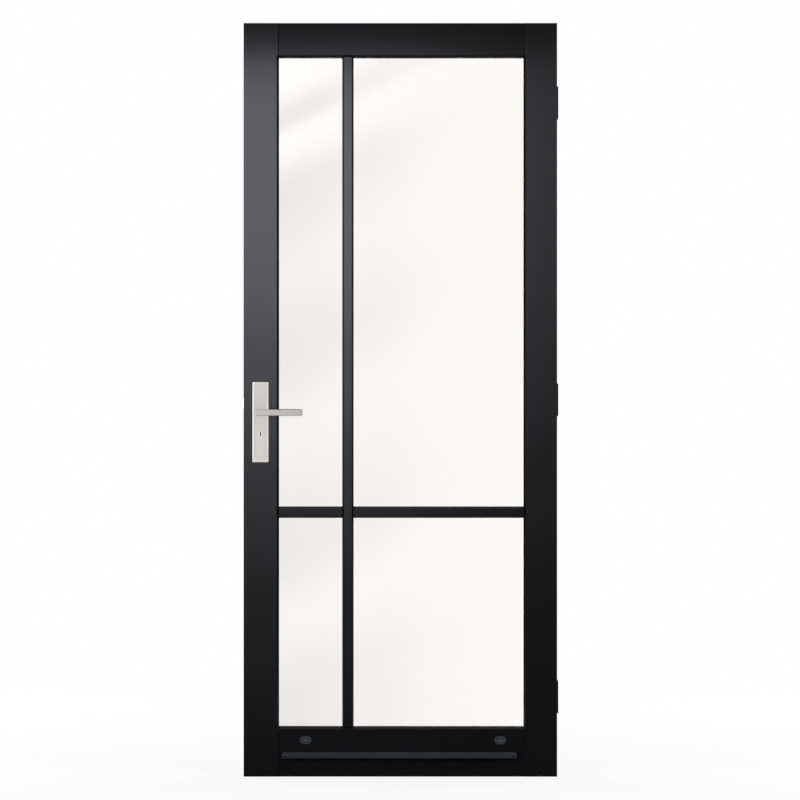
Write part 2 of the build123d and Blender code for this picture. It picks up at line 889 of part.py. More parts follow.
def lever_bush():
    """A nylon bearing for the lever's neck, behind the plate's face."""
    bore = neck_radius + neck_clearance
    ends = -plate_face + plate_wall, -inside
    return round_y(spindle_x, *ends, spindle_height, bore + bush_wall) - round_y(
        spindle_x, *ends, spindle_height, bore
    )


def lever():
    """A flat square-ended lever on a round neck, on the outside face."""
    front = -(inside + lever_projection)
    half = lever_height / 2
    z0, z1 = spindle_height - half, spindle_height + half
    grip = block(spindle_x - lever_heel, spindle_x + lever_reach, front, -lever_back, z0, z1)
    grip = chamfer(grip.edges(), lever_edge)
    neck = round_y(spindle_x, -lever_back, -neck_foot, spindle_height, neck_radius)
    socket = spindle_bar(neck_foot + spindle_grip, spindle_clearance)
    return grip + neck - socket - lever_grub_screw(spindle_clearance / 2)


def lever_grub_screw(clearance=0.0):
    """The set screw under the neck that grips the spindle."""
    seat = spindle_height - spindle_width / 2 - spindle_clearance
    y = -(plate_face + grub_from_plate)
    return round_z(spindle_x, y, seat - grub_length, seat, grub_radius + clearance)


def spindle_bar(reach, clearance=0.0):
    """The square spindle, or its hole."""
    half = spindle_width / 2 + clearance
    z0, z1 = spindle_height - half, spindle_height + half
    return block(spindle_x - half, spindle_x + half, -reach, reach, z0, z1)


# Butt hinges
def hinge_leaf(z, plate_x, own_knuckles):
    """One leaf of a hinge: a plate in the gap's side and its share of the knuckles round the pin."""
    bottom, top = z - hinge_height / 2, z + hinge_height / 2
    step = hinge_height / knuckle_count
    leaf = block(
        plate_x,
        plate_x + hinge_leaf_thickness,
        inside - hinge_leaf_width,
        hinge_axis_y,
        bottom,
        top,
    )
    for i in range(knuckle_count):
        low, high = bottom + i * step, bottom + (i + 1) * step
        if i % 2 != own_knuckles:
            leaf -= round_z(hinge_axis_x, hinge_axis_y, low, high, knuckle_radius + knuckle_play)
    for i in range(own_knuckles, knuckle_count, 2):
        low, high = bottom + i * step + knuckle_play / 2, bottom + (i + 1) * step - knuckle_play / 2
        leaf += round_z(hinge_axis_x, hinge_axis_y, low, high, knuckle_radius)
    pin_hole = hinge_pin_radius + hinge_pin_clearance
    return leaf - round_z(hinge_axis_x, hinge_axis_y, bottom - overrun, top + overrun, pin_hole)


def hinge_screw_places(z):
    half_y = hinge_screw_spacing_y / 2
    half_z = hinge_screw_spacing_z / 2
    return [(hinge_screw_y + sy * half_y, z + sz * half_z) for sy in (-1, 1) for sz in (-1, 1)]


def door_hinge_screws(z, clearance=0.0):
    """The screws of a door leaf, driven in from the hinge edge, or their holes."""
    turned = Rot(0, 90, 0) * wood_screw(clearance)
    return [Pos(hinge_edge, y, screw_z) * turned for y, screw_z in hinge_screw_places(z)]


def door_hinge_leaf(z):
    return hinge_leaf(z, hinge_edge - hinge_leaf_thickness, 1) - door_hinge_screws(z, screw_clearance)


def frame_hinge_leaf(z):
    """The leaf that is screwed to the opening's frame, with its countersinks towards the door."""
    face = hinge_edge + hinge_gap
    screw = countersunk(
        frame_screw_head_radius, screw_head_depth, frame_screw_radius, screw_length, screw_clearance
    )
    turned = Rot(0, -90, 0) * screw
    holes = [Pos(face, y, screw_z) * turned for y, screw_z in hinge_screw_places(z)]
    return hinge_leaf(z, face, 0) - holes


def hinge_pin(z):
    """A pin with a flat button at both ends."""
    half = hinge_height / 2
    pin = round_z(hinge_axis_x, hinge_axis_y, z - half, z + half, hinge_pin_radius)
    for low in (z - half - hinge_tip_height, z + half):
        pin += round_z(hinge_axis_x, hinge_axis_y, low, low + hinge_tip_height, hinge_tip_radius)
    return pin


def inside_copy(shape):
    """The matching piece on the inside face."""
    return mirror(shape, about=Plane.XZ)


def all_parts():
    plate = handle_plate()
    outer_lever = lever()
    grub = lever_grub_screw()
    parts = {
        "lock_stile": lock_stile(),
        "hinge_stile": hinge_stile(),
        "top_rail": top_rail(),
        "bottom_rail": bottom_rail(),
        "frame_dowels": dowels(),
        "outer_pane": pane(outer_glass),
        "inner_pane": pane(cavity_back),
        "spacer_frame": spacer_frame(),
        "edge_seal": edge_seal(),
        "outer_glazing_seal": glazing_seal(lip_back),
        "inner_glazing_seal": glazing_seal(inner_glass),
        "setting_blocks": setting_blocks(),
        **glazing_beads(),
        **stuck_bars("outer", outer_glass, -1),
        **stuck_bars("inner", inner_glass, 1),
        **cavity_bars(),
        "bar_tapes": bar_tapes(),
        **{f"drain_cap_{side}": drain_cap(x) for side, x in cap_places.items()},
        "drip_bar": drip_bar(),
        "drip_bar_screws": drip_bar_screws(),
        "faceplate": faceplate(),
        "faceplate_screws": [lock_edge_screw(z, wood_screw()) for z in faceplate_screw_heights()],
        "lock_case": lock_case(),
        "lock_case_cover": lock_case_cover(),
        "latch_bolt": latch_bolt(),
        "latch_spring": latch_spring(),
        "dead_bolt": dead_bolt(),
        "follower": follower(),
        "follower_spring": follower_spring(),
        "cylinder_body": cylinder_body(),
        "outer_plug": outer_plug(),
        "inner_plug": inside_copy(outer_plug()),
        "cam": cam(),
        "cylinder_screw": cylinder_screw(),
        "outer_plate": plate - plate_bolts(plate_bolt_clearance),
        "inner_plate": inside_copy(plate) - plate_bolts(plate_bolt_clearance),
        "plate_bolts": plate_bolts(),
        "lever_bushes": [lever_bush(), inside_copy(lever_bush())],
        "outer_lever": outer_lever,
        "inner_lever": inside_copy(outer_lever),
        "lever_grub_screws": [grub, inside_copy(grub)],
        "spindle": spindle_bar(neck_foot + spindle_grip - neck_foot_gap),
        **{f"door_hinge_leaf_{place}": door_hinge_leaf(z) for place, z in hinge_heights.items()},
        **{f"frame_hinge_leaf_{place}": frame_hinge_leaf(z) for place, z in hinge_heights.items()},
        "hinge_pins": [hinge_pin(z) for z in hinge_heights.values()],
        "hinge_screws": [screw for z in hinge_heights.values() for screw in door_hinge_screws(z)],
    }
    return parts


os.makedirs("parts", exist_ok=True)
for node, shape in all_parts().items():
    solids = [piece for item in (shape if isinstance(shape, list) else [shape]) for piece in item.solids()]
    export_step(solids[0] if len(solids) == 1 else Compound(solids), f"parts/{node}.step")
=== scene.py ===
import json
import math

import bmesh
import bpy
from mathutils import Matrix, Vector


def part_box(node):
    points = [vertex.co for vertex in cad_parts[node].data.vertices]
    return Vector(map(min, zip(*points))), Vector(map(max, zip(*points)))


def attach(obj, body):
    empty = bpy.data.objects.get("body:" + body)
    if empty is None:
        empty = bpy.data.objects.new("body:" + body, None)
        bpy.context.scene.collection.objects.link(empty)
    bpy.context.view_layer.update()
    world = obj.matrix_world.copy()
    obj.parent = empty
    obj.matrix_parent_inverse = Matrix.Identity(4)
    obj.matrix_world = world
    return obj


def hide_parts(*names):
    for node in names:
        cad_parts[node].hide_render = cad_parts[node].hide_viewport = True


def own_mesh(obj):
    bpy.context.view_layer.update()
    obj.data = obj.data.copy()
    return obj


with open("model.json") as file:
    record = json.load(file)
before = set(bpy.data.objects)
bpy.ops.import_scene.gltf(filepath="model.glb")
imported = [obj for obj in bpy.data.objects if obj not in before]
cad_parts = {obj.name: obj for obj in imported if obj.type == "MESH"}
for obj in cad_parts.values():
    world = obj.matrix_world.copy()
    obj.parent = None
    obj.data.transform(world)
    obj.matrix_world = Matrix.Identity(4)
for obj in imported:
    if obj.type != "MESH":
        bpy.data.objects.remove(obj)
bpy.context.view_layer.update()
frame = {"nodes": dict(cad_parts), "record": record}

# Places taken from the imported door, in metres
outside_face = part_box("lock_stile")[0].y
hinge_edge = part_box("hinge_stile")[1].x
spindle_x = sum(corner.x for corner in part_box("spindle")) / 2
hinge_mounts = [mount for mount in frame["record"]["mounts"] if mount["name"].startswith("hinge_")]
metres_per_mm = 0.001

# Axes, as indices of a vector
x_axis, y_axis = 0, 1

# Screws, in metres: head radius, head depth, shank radius
wood_screw = (0.0039, 0.0022, 0.0019)
machine_screw = (0.0046, 0.0024, 0.0025)
plate_bolt = (0.0056, 0.0030, 0.0030)
pan_screw = (0.0028, 0.0020, 0.0019)
set_screw = (0.0025, 0.0003, 0.0022)
wood_screw_length = 0.028
screw_segments = 24
recess_share = 0.60
lobe_side_share = 0.87
lobe_valley_share = 0.74
recess_depth_share = 0.75
screw_tip_share = 0.3
same_place_digits = 5

# Flaps in the drain caps, in metres
cap_rim = 0.0045
flap_gap = 0.0016
flap_thickness = 0.0012
flap_recess = 0.0010
flap_bite = 0.0002
flap_arris = 0.0003
flap_arris_segments = 2
flap_tilt = math.radians(12.0)
flap_segments = 30

# Latch spring, in metres
spring_wire_radius = 0.0005
spring_wire_sides = 10
spring_turns = 5
spring_steps_per_turn = 28

# Depths of surface relief, of the painted shade in the keyway and of the painted shade along the lever
# arrises, in metres
fine_relief = 0.0001
coat_relief = 0.0002
wood_relief = 0.0003
glass_relief = 0.0004
keyway_shade_depth = 0.0012
lever_arris_shade_width = 0.0024

# Waves of grain, brushing and clouds, per metre along x, y and z
upright_grain = (160.0, 160.0, 7.0)
level_grain = (7.0, 160.0, 160.0)
upright_brush = (2400.0, 2400.0, 26.0)
level_brush = (26.0, 2400.0, 2400.0)
even_brush = (1800.0, 1800.0, 1800.0)
even_skin = (900.0, 900.0, 900.0)
paint_peel = (420.0, 420.0, 420.0)
powder_peel = (1400.0, 1400.0, 1400.0)
moulded_peel = (1800.0, 1800.0, 1800.0)
coat_cloud = (2.5, 2.5, 1.2)
handling_cloud = (26.0, 26.0, 18.0)
wiping_cloud = (3.0, 3.0, 2.0)
draw_lines = (4.0, 4.0, 1.0)

# Detail of those waves, and the share of the peel in a coat's relief
peel_detail = 2.0
grain_detail = 4.0
brush_detail = 5.0
draw_line_detail = 1.0
coat_cloud_detail = 3.0
cloud_detail = 2.0
peel_share = 0.55

# Colours, and the glass's index of refraction
white = (1.0, 1.0, 1.0, 1.0)
paint_gloss_tint = (0.90, 0.92, 1.0, 1.0)
floor_diffuse = (0.14, 0.14, 0.14, 1.0)
glass_ior = 1.5

# Camera, fitted to the corners of the leaf
camera_place = (-0.001, -9.0, 1.0571)
camera_focal_share = 3.9965
sensor_width_mm = 36.0

# Floor, in metres, and its glow as a share of white
floor_radius = 3.4
floor_full_radius = 1.1
floor_segments = 96
floor_glow = 0.80

# Room light, as shares of white
zenith_level = 1.0
horizon_level = 0.08
ground_level = 0.04
reflected_room_share = 0.16

# Counts of bounces that part a straight view from a reflection, and a first reflection from the next
straight_bounces = 0.5
first_reflection_bounces = 1.5

# Glowing panels before the faces and beside the edges of the leaf, in metres, with peaks as shares of white
panel_distance = 0.6
panel_half_width = 1.25
panel_top = 2.75
panel_foot = 0.02
panel_peak = 1.5
glass_panel_distance_share = 1.1
glass_panel_foot = -0.8
glass_panel_full_half_width = 0.5
glass_panel_peak = 4.5
band_angle = math.radians(24.0)
even_level_share = 0.82
edge_panel_distance = 1.4
edge_panel_half_width = 1.15
edge_panel_peak = 0.5

# Lamps round the handle, in metres, with levels as shares of white
fitting_lamp_size = 2.0
fitting_lamp_distance = 1.5
fitting_lamp_level = 0.94
plug_lamp_level = 1.0
tent_lamp_size = 1.3
tent_lamp_distance = 1.5
tent_lamp_front = 1.4
tent_lamp_level = 0.8
rim_lamp_size = 0.8
rim_lamp_distance = 0.9
rim_lamp_level = 2.1

# Lamps beside the leaf, in metres and watts
side_lamp_reach = (2.6, 2.4, 1.3)
side_lamp_aim = (0.0, 0.0, 0.8)
side_lamp_size = 1.7
side_lamp_power = 62.0


# Node tools
def new_tree(owner):
    """The owner's node tree, emptied."""
    owner.use_nodes = True
    owner.node_tree.nodes.clear()
    return owner.node_tree


def add_node(tree, kind, **settings):
    """A new node. A setting that names an input socket fills it, any other is set on the node."""
    made = tree.nodes.new(kind)
    for name, value in settings.items():
        label = name.replace("_", " ")
        if label in made.inputs:
            made.inputs[label].default_value = value
        else:
            setattr(made, name, value)
    return made


def wire(tree, source, target):
    tree.links.new(source, target)


def math_node(tree, operation, first, second=None):
    """A Math node whose operands are sockets or numbers."""
    made = add_node(tree, "ShaderNodeMath", operation=operation)
    for socket, value in zip(made.inputs, (first, second)):
        if isinstance(value, bpy.types.NodeSocket):
            wire(tree, value, socket)
        elif value is not None:
            socket.default_value = value
    return made.outputs[0]


def spread(tree, value, low, high):
    """A value from 0 to 1 spread between two levels."""
    made = add_node(tree, "ShaderNodeMapRange", To_Min=low, To_Max=high)
    wire(tree, value, made.inputs["Value"])
    return made.outputs["Result"]


def ramp(tree, value, low, high, stops):
    """A soft curve over a value from low to high. Stops are pairs of a share of that span and a level."""
    share = add_node(tree, "ShaderNodeMapRange", From_Min=low, From_Max=high)
    wire(tree, value, share.inputs["Value"])
    made = add_node(tree, "ShaderNodeValToRGB")
    made.color_ramp.interpolation = "EASE"
    elements = made.color_ramp.elements
    while len(elements) < len(stops):
        elements.new(1.0)
    for element, (place, level) in zip(elements, stops):
        element.position = place
        element.color = (level, level, level, 1.0)
    wire(tree, share.outputs["Result"], made.inputs["Fac"])
    return made.outputs["Color"]


def join_shaders(tree, kind, *sources):
    """A node that adds or mixes shaders. Its inputs take the sources in order."""
    made = tree.nodes.new(kind)
    for socket, source in zip(made.inputs, sources):
        wire(tree, source, socket)
    return made.outputs["Shader"]


def to_surface(tree, source):
    """A shader wired to the surface of its material."""
    output = tree.nodes.new("ShaderNodeOutputMaterial")
    wire(tree, source, output.inputs["Surface"])


def own_place(tree):
    """The x, y and z of a point on the piece, in the door's frame."""
    split = tree.nodes.new("ShaderNodeSeparateXYZ")
    wire(tree, tree.nodes.new("ShaderNodeTexCoord").outputs["Object"], split.inputs["Vector"])
    return split.outputs


# Shared surface effects
def effect_group(name, inputs):
    """A node group with named vector inputs that puts out a height and a cloud."""
    group = bpy.data.node_groups.new(name, "ShaderNodeTree")
    for label in inputs:
        group.interface.new_socket(label, in_out="INPUT", socket_type="NodeSocketVector")
    for label in ("Height", "Cloud"):
        group.interface.new_socket(label, in_out="OUTPUT", socket_type="NodeSocketFloat")
    return group, group.nodes.new("NodeGroupInput").outputs, group.nodes.new("NodeGroupOutput").inputs


def stretched_noise(group, stretch, detail):
    """Noise on the piece's own coordinates, drawn out by a stretch vector."""
    place = group.nodes.new("ShaderNodeTexCoord").outputs["Object"]
    mapping = group.nodes.new("ShaderNodeMapping")
    wire(group, place, mapping.inputs["Vector"])
    if isinstance(stretch, bpy.types.NodeSocket):
        wire(group, stretch, mapping.inputs["Scale"])
    else:
        mapping.inputs["Scale"].default_value = stretch
    noise = add_node(group, "ShaderNodeTexNoise", Detail=detail, Scale=1.0)
    wire(group, mapping.outputs["Vector"], noise.inputs["Vector"])
    return noise.outputs["Fac"]


def sprayed_skin():
    """The skin of a sprayed coat: fine orange peel over the grain, and broad clouds."""
    group, given, out = effect_group("sprayed_skin", ["Peel", "Grain"])
    peel = stretched_noise(group, given["Peel"], peel_detail)
    grain = stretched_noise(group, given["Grain"], grain_detail)
    fine = math_node(group, "MULTIPLY", peel, peel_share)
    wire(group, math_node(group, "ADD", fine, grain), out["Height"])
    wire(group, stretched_noise(group, coat_cloud, coat_cloud_detail), out["Cloud"])
    return group


def brushed_lines():
    """Fine lines drawn out along one direction, with broader clouds of handling."""
    group, given, out = effect_group("brushed_lines", ["Stretch"])
    wire(group, stretched_noise(group, given["Stretch"], brush_detail), out["Height"])
    wire(group, stretched_noise(group, handling_cloud, cloud_detail), out["Cloud"])
    return group


def float_wave():
    """The broad draw lines of float glass, with faint clouds left by wiping."""
    group, given, out = effect_group("float_wave", ["Stretch"])
    wire(group, stretched_noise(group, given["Stretch"], draw_line_detail), out["Height"])
    wire(group, stretched_noise(group, wiping_cloud, cloud_detail), out["Cloud"])
    return group


sprayed_skin_group = sprayed_skin()
brushed_lines_group = brushed_lines()
float_wave_group = float_wave()


# Kinds of finish
def finish(name, roughness, metallic=0.0):
    """A new material with its shader, ready for the effects of that finish."""
    material = bpy.data.materials.new(name)
    tree = new_tree(material)
    shader = add_node(tree, "ShaderNodeBsdfPrincipled", Roughness=roughness, Metallic=metallic)
    to_surface(tree, shader.outputs["BSDF"])
    return material, tree, shader


def place_effect(tree, group, **values):
    """A shared effect placed in a material with values of its own."""
    made = add_node(tree, "ShaderNodeGroup", node_tree=group)
    for label, value in values.items():
        made.inputs[label].default_value = value
    return made.outputs


def tint(tree, shader, mask, first, second):
    """Base colour between two tones by a mask."""
    mix = add_node(tree, "ShaderNodeMix", data_type="RGBA", A=(*first, 1.0), B=(*second, 1.0))
    wire(tree, mask, mix.inputs["Factor"])
    wire(tree, mix.outputs["Result"], shader.inputs["Base Color"])


def relief(tree, shader, height, depth, strength):
    """A bump of a depth over the whole surface."""
    bump = add_node(tree, "ShaderNodeBump", Distance=depth, Strength=strength)
    wire(tree, height, bump.inputs["Height"])
    wire(tree, bump.outputs["Normal"], shader.inputs["Normal"])


def coated(
    name, tones, roughness, strength, depth=fine_relief, peel=even_skin, grain=even_skin,
    gloss=0.5, gloss_tint=white,
):
    """A sprayed or moulded skin. Tones and roughness are pairs that its clouds move between."""
    material, tree, shader = finish(name, roughness[0])
    shader.inputs["Specular IOR Level"].default_value = gloss
    shader.inputs["Specular Tint"].default_value = gloss_tint
    skin = place_effect(tree, sprayed_skin_group, Peel=peel, Grain=grain)
    tint(tree, shader, skin["Cloud"], *tones)
    wire(tree, spread(tree, skin["Cloud"], *roughness), shader.inputs["Roughness"])
    relief(tree, shader, skin["Height"], depth, strength)
    return material


def brushed(name, tones, roughness, strength, stretch):
    """A brushed metal. Its clouds move between two tones, its lines between two roughnesses."""
    material, tree, shader = finish(name, roughness[0], metallic=1.0)
    lines = place_effect(tree, brushed_lines_group, Stretch=stretch)
    tint(tree, shader, lines["Cloud"], *tones)
    wire(tree, spread(tree, lines["Height"], *roughness), shader.inputs["Roughness"])
    relief(tree, shader, lines["Height"], fine_relief, strength)
    return material


# Materials of the leaf
def satin_paint(name, grain, gloss):
    tones = ((0.0046, 0.0049, 0.0057), (0.0056, 0.0060, 0.0069))
    return coated(
        name, tones, roughness=(0.20, 0.25), strength=0.10, depth=coat_relief, peel=paint_peel, grain=grain,
        gloss=gloss, gloss_tint=paint_gloss_tint,
    )


def clear_glass():
    """Float glass with faint draw lines. Lamps pass straight through it."""
    material, tree, shader = finish("clear_glass", roughness=0.0)
    tones = ((0.985, 0.969, 0.955), (0.991, 0.975, 0.961))
    wave = place_effect(tree, float_wave_group, Stretch=draw_lines)
    tint(tree, shader, wave["Cloud"], *tones)
    relief(tree, shader, wave["Height"], glass_relief, strength=0.1)
    shader.inputs["Transmission Weight"].default_value = 1.0
    shader.inputs["IOR"].default_value = glass_ior
    through = tree.nodes.new("ShaderNodeBsdfTransparent").outputs["BSDF"]
    shadow = tree.nodes.new("ShaderNodeLightPath").outputs["Is Shadow Ray"]
    pane = join_shaders(tree, "ShaderNodeMixShader", shadow, shader.outputs["BSDF"], through)
    output = next(node for node in tree.nodes if node.type == "OUTPUT_MATERIAL")
    wire(tree, pane, output.inputs["Surface"])
    return material


def dark_spacer():
    tones = ((0.05,) * 3, (0.07,) * 3)
    return brushed("dark_spacer", tones, roughness=(0.35, 0.5), strength=0.1, stretch=level_brush)


def sealant():
    tones = ((0.012,) * 3, (0.018,) * 3)
    return coated("sealant", tones, roughness=(0.65, 0.8), strength=0.3, depth=coat_relief)


def packer_plastic():
    tones = ((0.10, 0.11, 0.13), (0.13, 0.14, 0.16))
    return coated("packer_plastic", tones, roughness=(0.45, 0.55), strength=0.2)


def bare_beech():
    tones = ((0.42, 0.25, 0.13), (0.52, 0.33, 0.18))
    return coated(
        "bare_beech", tones, roughness=(0.6, 0.7), strength=0.4, depth=wood_relief, grain=level_grain
    )


def drip_powder_coat():
    tones = ((0.020, 0.0245, 0.027), (0.025, 0.030, 0.033))
    return coated("drip_powder_coat", tones, roughness=(0.36, 0.44), strength=0.18, peel=powder_peel)


def cap_plastic():
    tones = ((0.040, 0.046, 0.049), (0.047, 0.053, 0.056))
    return coated("cap_plastic", tones, roughness=(0.42, 0.5), strength=0.2, peel=moulded_peel)


def black_hinge_paint():
    tones = ((0.010, 0.0105, 0.0115), (0.014, 0.0145, 0.016))
    return coated("black_hinge_paint", tones, roughness=(0.34, 0.42), strength=0.15)


# Materials of the lock and its fittings
def plate_steel():
    tones = ((0.705, 0.668, 0.645), (0.765, 0.727, 0.70))
    return brushed(
        "satin_stainless_upright", tones, roughness=(0.34, 0.44), strength=0.12, stretch=upright_brush
    )


def lever_steel():
    """Satin stainless with its lines along the lever, with painted shade darkening it towards the arrises
    above and below.
    """
    material, tree, shader = finish("satin_stainless_level", roughness=0.35, metallic=1.0)
    # The arris tone is painted shade: the steel's colour is darkened within a band below its upper arris
    # and above its lower one
    painted_arris_shade, flat_tone = (0.29, 0.275, 0.262), (0.652, 0.619, 0.588)
    lines = place_effect(tree, brushed_lines_group, Stretch=level_brush)
    wire(tree, spread(tree, lines["Height"], low=0.30, high=0.40), shader.inputs["Roughness"])
    relief(tree, shader, lines["Height"], fine_relief, strength=0.12)
    low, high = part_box("outer_lever")
    half = (high.z - low.z) / 2
    rise = math_node(tree, "SUBTRACT", own_place(tree)["Z"], (low.z + high.z) / 2)
    height = math_node(tree, "ABSOLUTE", rise)
    flat = ramp(tree, height, half - lever_arris_shade_width, half, [(0.0, 1.0), (1.0, 0.0)])
    mask = math_node(tree, "MULTIPLY", flat, spread(tree, lines["Cloud"], low=0.72, high=1.0))
    tint(tree, shader, mask, painted_arris_shade, flat_tone)
    return material


def plug_nickel():
    """Satin nickel on the plug's face, with painted shade darkening the keyway behind it."""
    material, tree, shader = finish("plug_nickel", roughness=0.3, metallic=1.0)
    # The keyway tone is painted shade: the colour turns dark behind the plug's face, inside the keyway
    painted_keyway_shade, face_tone = (0.02, 0.019, 0.018), (0.86, 0.83, 0.80)
    lines = place_effect(tree, brushed_lines_group, Stretch=even_brush)
    wire(tree, spread(tree, lines["Height"], low=0.26, high=0.36), shader.inputs["Roughness"])
    depth = math_node(tree, "ABSOLUTE", own_place(tree)["Y"])
    face = abs(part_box("outer_plug")[0].y)
    keyway_shade_mask = ramp(tree, depth, face - keyway_shade_depth, face, [(0.0, 0.0), (1.0, 1.0)])
    tint(tree, shader, keyway_shade_mask, painted_keyway_shade, face_tone)
    return material


def zinc_steel():
    tones = ((0.44, 0.45, 0.47), (0.52, 0.53, 0.54))
    return brushed("zinc_steel", tones, roughness=(0.3, 0.42), strength=0.1, stretch=level_brush)


def satin_nickel():
    tones = ((0.68, 0.655, 0.62), (0.73, 0.705, 0.67))
    return brushed("satin_nickel", tones, roughness=(0.28, 0.38), strength=0.1, stretch=upright_brush)


def white_nylon():
    tones = ((0.70, 0.69, 0.65), (0.76, 0.75, 0.71))
    return coated("white_nylon", tones, roughness=(0.4, 0.5), strength=0.1)


# Finishes by slot, and by node where a piece lies level or has a finish of its own
finishes = {
    "painted_timber": satin_paint("satin_black_upright", upright_grain, gloss=1.0),
    "glass": clear_glass(),
    "spacer_metal": dark_spacer(),
    "sealant": sealant(),
    "block_plastic": packer_plastic(),
    "beech": bare_beech(),
    "dark_aluminium": drip_powder_coat(),
    "dark_plastic": cap_plastic(),
    "stainless": plate_steel(),
    "lock_steel": zinc_steel(),
    "nickel_brass": satin_nickel(),
    "nylon": white_nylon(),
    "black_steel": black_hinge_paint(),
}
level_painted = [
    "top_rail", "bottom_rail", "glazing_bead_top", "glazing_bead_bottom",
    "outer_bar_left", "outer_bar_right", "inner_bar_left", "inner_bar_right",
]
panes = ["outer_pane", "inner_pane"]
plates = ["outer_plate", "inner_plate"]
levers = ["outer_lever", "inner_lever"]
plugs = ["outer_plug", "inner_plug"]
node_finishes = {
    **dict.fromkeys(level_painted, satin_paint("satin_black_level", level_grain, gloss=0.64)),
    **dict.fromkeys(levers, lever_steel()),
    **dict.fromkeys(plugs, plug_nickel()),
}


def dress_nodes():
    """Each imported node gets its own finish, or else that of its slot."""
    for row in frame["record"]["subparts"]:
        material = node_finishes.get(row["node"], finishes[row["material_slot"]])
        for slot in frame["nodes"][row["node"]].material_slots:
            slot.material = material


# Pieces
def mesh_object(name, shape, material):
    """A finished shape as an object with one material."""
    mesh = bpy.data.meshes.new(name)
    shape.to_mesh(mesh)
    shape.free()
    mesh.materials.append(material)
    made = bpy.data.objects.new(name, mesh)
    bpy.context.scene.collection.objects.link(made)
    return made


def make_piece(name, shape, body, slot):
    """A finished shape as a piece that rides on a body and takes the finish of a slot."""
    bmesh.ops.recalc_face_normals(shape, faces=shape.faces)
    piece = mesh_object(name, shape, finishes[slot])
    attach(piece, body)
    return piece


def drawn_corners(parts):
    """The corners among the parts that an extrusion made."""
    return [part for part in parts["geom"] if isinstance(part, bmesh.types.BMVert)]


def close_rims(shape):
    bmesh.ops.holes_fill(shape, edges=[edge for edge in shape.edges if edge.is_boundary])


# Screws with drive recesses
def pull_down(shape, share, fall):
    """The open rim of a shape drawn out along -Z and scaled to a share of its radius."""
    rim = [edge for edge in shape.edges if edge.is_boundary]
    corners = drawn_corners(bmesh.ops.extrude_edge_only(shape, edges=rim))
    middle = sum((corner.co for corner in corners), Vector()) / len(corners)
    bmesh.ops.scale(shape, vec=(share, share, 1.0), space=Matrix.Translation(-middle), verts=corners)
    bmesh.ops.translate(shape, vec=(0.0, 0.0, -fall), verts=corners)


def sink_recess(shape, face, head_radius, depth):
    """A six-lobed recess sunk into the face of a screw's head."""
    wall = head_radius * (1 - recess_share)
    bmesh.ops.inset_region(shape, faces=[face], thickness=wall, use_boundary=True, use_even_offset=True)
    ring = list(face.verts)
    # Four corners a lobe: its tip, a side, the valley beyond it and the next side
    valleys, sides = ring[2::4], ring[1::2]
    for corners, share in ((valleys, lobe_valley_share), (sides, lobe_side_share)):
        bmesh.ops.scale(shape, vec=(share, share, 1.0), verts=corners)
    floor = drawn_corners(bmesh.ops.extrude_face_region(shape, geom=[face]))
    bmesh.ops.translate(shape, vec=(0.0, 0.0, -depth), verts=floor)
    bmesh.ops.delete(shape, geom=[face], context="FACES_ONLY")


def add_screw(shape, size, length, way, place, pan=False):
    """A screw with its head at a place and facing a way. A pan head has an upright rim, others taper."""
    head_radius, head_depth, shank_radius = size
    before = set(shape.verts)
    circle = bmesh.ops.create_circle(shape, cap_ends=True, radius=head_radius, segments=screw_segments)
    sink_recess(shape, circle["verts"][0].link_faces[0], head_radius, head_depth * recess_depth_share)
    if pan:
        pull_down(shape, 1.0, head_depth)
        pull_down(shape, shank_radius / head_radius, 0.0)
    else:
        pull_down(shape, shank_radius / head_radius, head_depth)
    pull_down(shape, 1.0, length - head_depth - shank_radius)
    pull_down(shape, screw_tip_share, shank_radius)
    close_rims(shape)
    turn = Vector(way).to_track_quat("Z", "Y").to_matrix().to_4x4()
    new = [corner for corner in shape.verts if corner not in before]
    bmesh.ops.transform(shape, matrix=Matrix.Translation(place) @ turn, verts=new)


def screw_piece(node, body, slot, rows, **form):
    """One piece for the screws of a node. Rows give the size, length, way and place of each."""
    shape = bmesh.new()
    for row in rows:
        add_screw(shape, *row, **form)
    piece = make_piece(f"{node}_driven", shape, body, slot)
    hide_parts(node)
    return piece


def hinge_screw_piece():
    """Four wood screws in each hinge leaf on the door's edge."""
    rows = []
    for mount in hinge_mounts:
        middle = Vector((hinge_edge, *mount["pos_m"][1:]))
        half_y = mount["dims"]["spacing_x_mm"] * metres_per_mm / 2
        half_z = mount["dims"]["spacing_y_mm"] * metres_per_mm / 2
        for y in (-half_y, half_y):
            for z in (-half_z, half_z):
                rows.append((wood_screw, wood_screw_length, (1, 0, 0), middle + Vector((0.0, y, z))))
    return screw_piece("hinge_screws", "leaf", "black_steel", rows)


def end_screws(node, body, slot, size, axis, way, **form):
    """Two screws, or one, at the ends of a node's box, driven along an axis from the side it faces."""
    low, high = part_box(node)
    length = high[axis] - low[axis]
    middle = (low + high) / 2
    head = max(way * low[axis], way * high[axis]) * way
    run = max((i for i in range(3) if i != axis), key=lambda i: high[i] - low[i])
    ends = {round(end, same_place_digits) for end in (low[run] + size[0], high[run] - size[0])}
    facing = Vector((0.0, 0.0, 0.0))
    facing[axis] = way
    rows = []
    for end in sorted(ends):
        place = middle.copy()
        place[axis], place[run] = head, end
        rows.append((size, length, facing, place))
    return screw_piece(node, body, slot, rows, **form)


def set_screw_piece():
    """A set screw in the neck of each lever, driven from below."""
    low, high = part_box("lever_grub_screws")
    length = high.z - low.z
    rows = [
        (set_screw, length, (0, 0, -1), (spindle_x, y, low.z))
        for y in (low.y + set_screw[0], high.y - set_screw[0])
    ]
    return screw_piece("lever_grub_screws", "lever", "lock_steel", rows)


